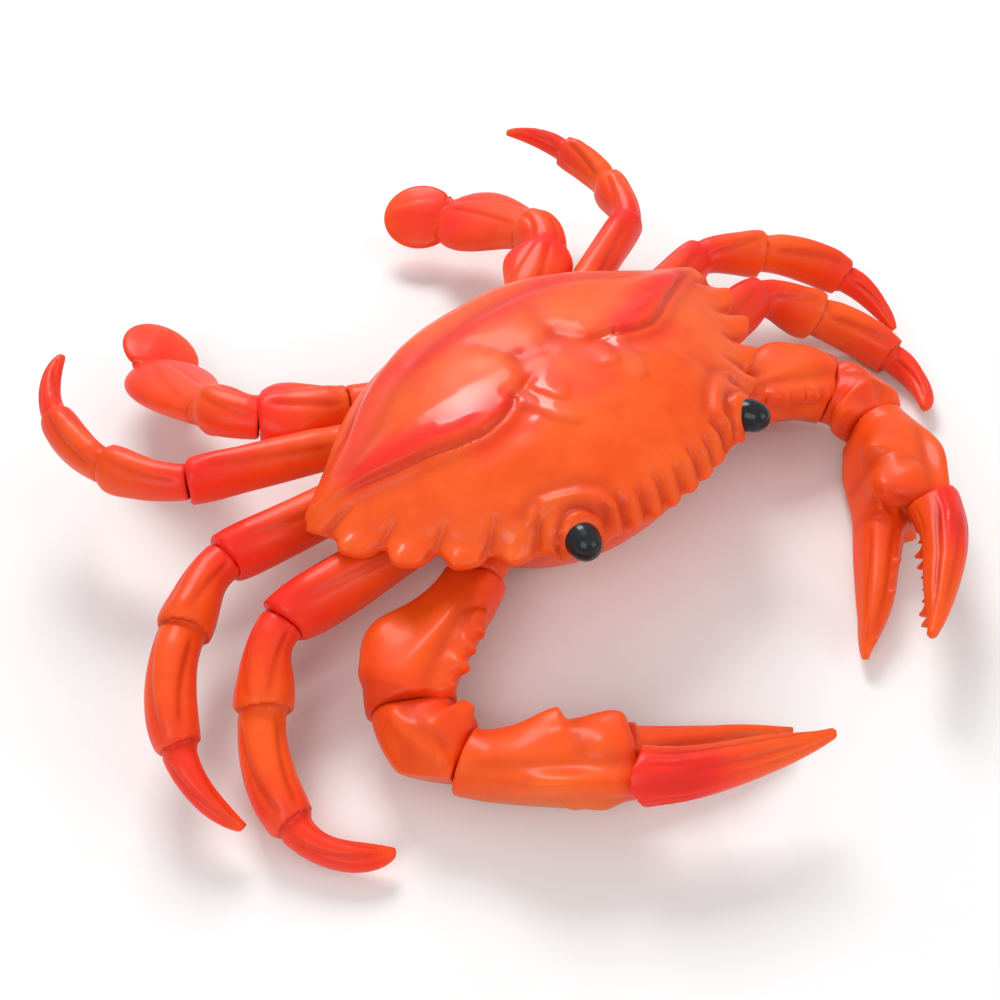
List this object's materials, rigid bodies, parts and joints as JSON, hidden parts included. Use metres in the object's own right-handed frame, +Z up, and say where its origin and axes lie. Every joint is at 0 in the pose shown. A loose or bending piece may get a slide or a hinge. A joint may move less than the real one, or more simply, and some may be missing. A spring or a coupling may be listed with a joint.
{
  "type": "posable crab figurine",
  "caption": "Posable glossy vinyl crab with a domed saw-edged shell, bead eyes, swivelling walking and paddle legs, and jointed claws with hinged pincers; it rests on a flat belly.",
  "frame": {"origin": "on the flat belly, in the mirror plane, level with the carapace's side corners", "axes": "+X to the crab's left, +Y to its back, +Z up"},
  "size_m": [0.1994, 0.1771, 0.0409],
  "materials": {
    "shell": "glossy vinyl, orange with red airbrushing",
    "belly": "glossy vinyl, orange",
    "leg": "glossy vinyl, orange with red ends",
    "claw": "glossy vinyl, orange with red pincers",
    "eye": "polished black",
    "pin": "drawn wire"
  },
  "bodies": {
    "body": {"carapace": "shell", "underbody": "belly", "eye_right": "eye", "eye_left": "eye"},
    "leg1_upper_right": {"leg1_upper_right": "leg"},
    "leg1_lower_right": {"leg1_lower_right": "leg"},
    "leg2_upper_right": {"leg2_upper_right": "leg"},
    "leg2_lower_right": {"leg2_lower_right": "leg"},
    "leg3_upper_right": {"leg3_upper_right": "leg"},
    "leg3_lower_right": {"leg3_lower_right": "leg"},
    "leg4_upper_right": {"leg4_upper_right": "leg"},
    "leg4_lower_right": {"leg4_lower_right": "leg"},
    "claw_arm_right": {"claw_arm_right": "claw"},
    "claw_wrist_right": {"claw_wrist_right": "claw"},
    "claw_palm_right": {"claw_palm_right": "claw", "claw_pin_right": "pin"},
    "claw_finger_right": {"claw_finger_right": "claw"},
    "leg1_upper_left": {"leg1_upper_left": "leg"},
    "leg1_lower_left": {"leg1_lower_left": "leg"},
    "leg2_upper_left": {"leg2_upper_left": "leg"},
    "leg2_lower_left": {"leg2_lower_left": "leg"},
    "leg3_upper_left": {"leg3_upper_left": "leg"},
    "leg3_lower_left": {"leg3_lower_left": "leg"},
    "leg4_upper_left": {"leg4_upper_left": "leg"},
    "leg4_lower_left": {"leg4_lower_left": "leg"},
    "claw_arm_left": {"claw_arm_left": "claw"},
    "claw_wrist_left": {"claw_wrist_left": "claw"},
    "claw_palm_left": {"claw_palm_left": "claw", "claw_pin_left": "pin"},
    "claw_finger_left": {"claw_finger_left": "claw"}
  },
  "joints": [
    {"name": "leg1_hip_right", "type": "hinge", "parent": "body", "child": "leg1_upper_right", "pos_m": [-0.0372, -0.0095, 0.018], "axis": [-0.9979, 0.062, -0.0163], "range_deg": [0, 15]},
    {"name": "leg1_knee_right", "type": "hinge", "parent": "leg1_upper_right", "child": "leg1_lower_right", "pos_m": [-0.0678, -0.0076, 0.0175], "axis": [-0.9636, -0.1936, -0.1845], "range_deg": [0, 12]},
    {"name": "leg2_hip_right", "type": "hinge", "parent": "body", "child": "leg2_upper_right", "pos_m": [-0.0372, 0.0055, 0.0195], "axis": [-0.9887, 0.1501, 0], "range_deg": [-5, 15]},
    {"name": "leg2_knee_right", "type": "hinge", "parent": "leg2_upper_right", "child": "leg2_lower_right", "pos_m": [-0.0675, 0.0101, 0.0195], "axis": [-0.9947, -0.0981, -0.0303], "range_deg": [-5, 12]},
    {"name": "leg3_hip_right", "type": "hinge", "parent": "body", "child": "leg3_upper_right", "pos_m": [-0.0325, 0.0175, 0.0205], "axis": [-0.9386, 0.3359, 0.0785], "range_deg": [-12, 12]},
    {"name": "leg3_knee_right", "type": "hinge", "parent": "leg3_upper_right", "child": "leg3_lower_right", "pos_m": [-0.0624, 0.0282, 0.023], "axis": [-0.8325, 0.5529, 0.0342], "range_deg": [-12, 12]},
    {"name": "leg4_hip_right", "type": "hinge", "parent": "body", "child": "leg4_upper_right", "pos_m": [-0.025, 0.0265, 0.0205], "axis": [-0.8913, 0.4457, 0.0836], "range_deg": [-15, 5]},
    {"name": "leg4_knee_right", "type": "hinge", "parent": "leg4_upper_right", "child": "leg4_lower_right", "pos_m": [-0.041, 0.0345, 0.022], "axis": [-0.7799, 0.6216, 0.0736], "range_deg": [-12, 6]},
    {"name": "claw_shoulder_right", "type": "hinge", "parent": "body", "child": "claw_arm_right", "pos_m": [-0.035, -0.023, 0.016], "axis": [-0.9032, -0.3925, -0.1737], "range_deg": [0, 15]},
    {"name": "claw_elbow_right", "type": "hinge", "parent": "claw_arm_right", "child": "claw_wrist_right", "pos_m": [-0.061, -0.0343, 0.011], "axis": [-0.5385, -0.8277, -0.1579], "range_deg": [0, 12]},
    {"name": "claw_wrist_turn_right", "type": "hinge", "parent": "claw_wrist_right", "child": "claw_palm_right", "pos_m": [-0.061, -0.0474, 0.0098], "axis": [0.4187, -0.9067, -0.0503], "range_deg": [0, 20]},
    {"name": "claw_pinch_right", "type": "hinge", "parent": "claw_palm_right", "child": "claw_finger_right", "pos_m": [-0.04816, -0.06771, 0.01431], "axis": [-0.4754, -0.5558, -0.682], "range_deg": [-8, 18]},
    {"name": "leg1_hip_left", "type": "hinge", "parent": "body", "child": "leg1_upper_left", "pos_m": [0.0372, -0.0095, 0.018], "axis": [-0.9979, -0.062, 0.0163], "range_deg": [0, 15]},
    {"name": "leg1_knee_left", "type": "hinge", "parent": "leg1_upper_left", "child": "leg1_lower_left", "pos_m": [0.0678, -0.0076, 0.0175], "axis": [-0.9636, 0.1936, 0.1845], "range_deg": [0, 12]},
    {"name": "leg2_hip_left", "type": "hinge", "parent": "body", "child": "leg2_upper_left", "pos_m": [0.0372, 0.0055, 0.0195], "axis": [-0.9887, -0.1501, 0], "range_deg": [-5, 15]},
    {"name": "leg2_knee_left", "type": "hinge", "parent": "leg2_upper_left", "child": "leg2_lower_left", "pos_m": [0.0675, 0.0101, 0.0195], "axis": [-0.9947, 0.0981, 0.0303], "range_deg": [-5, 12]},
    {"name": "leg3_hip_left", "type": "hinge", "parent": "body", "child": "leg3_upper_left", "pos_m": [0.0325, 0.0175, 0.0205], "axis": [-0.9386, -0.3359, -0.0785], "range_deg": [-12, 12]},
    {"name": "leg3_knee_left", "type": "hinge", "parent": "leg3_upper_left", "child": "leg3_lower_left", "pos_m": [0.0624, 0.0282, 0.023], "axis": [-0.8325, -0.5529, -0.0342], "range_deg": [-12, 12]},
    {"name": "leg4_hip_left", "type": "hinge", "parent": "body", "child": "leg4_upper_left", "pos_m": [0.025, 0.0265, 0.0205], "axis": [-0.8913, -0.4457, -0.0836], "range_deg": [-15, 5]},
    {"name": "leg4_knee_left", "type": "hinge", "parent": "leg4_upper_left", "child": "leg4_lower_left", "pos_m": [0.041, 0.0345, 0.022], "axis": [-0.7799, -0.6216, -0.0736], "range_deg": [-12, 6]},
    {"name": "claw_shoulder_left", "type": "hinge", "parent": "body", "child": "claw_arm_left", "pos_m": [0.035, -0.023, 0.016], "axis": [-0.9032, 0.3925, 0.1737], "range_deg": [0, 15]},
    {"name": "claw_elbow_left", "type": "hinge", "parent": "claw_arm_left", "child": "claw_wrist_left", "pos_m": [0.061, -0.0343, 0.011], "axis": [-0.5385, 0.8277, 0.1579], "range_deg": [0, 12]},
    {"name": "claw_wrist_turn_left", "type": "hinge", "parent": "claw_wrist_left", "child": "claw_palm_left", "pos_m": [0.061, -0.0474, 0.0098], "axis": [0.4187, 0.9067, 0.0503], "range_deg": [0, 20]},
    {"name": "claw_pinch_left", "type": "hinge", "parent": "claw_palm_left", "child": "claw_finger_left", "pos_m": [0.04816, -0.06771, 0.01431], "axis": [-0.4754, 0.5558, 0.682], "range_deg": [-8, 18]}
  ]
}
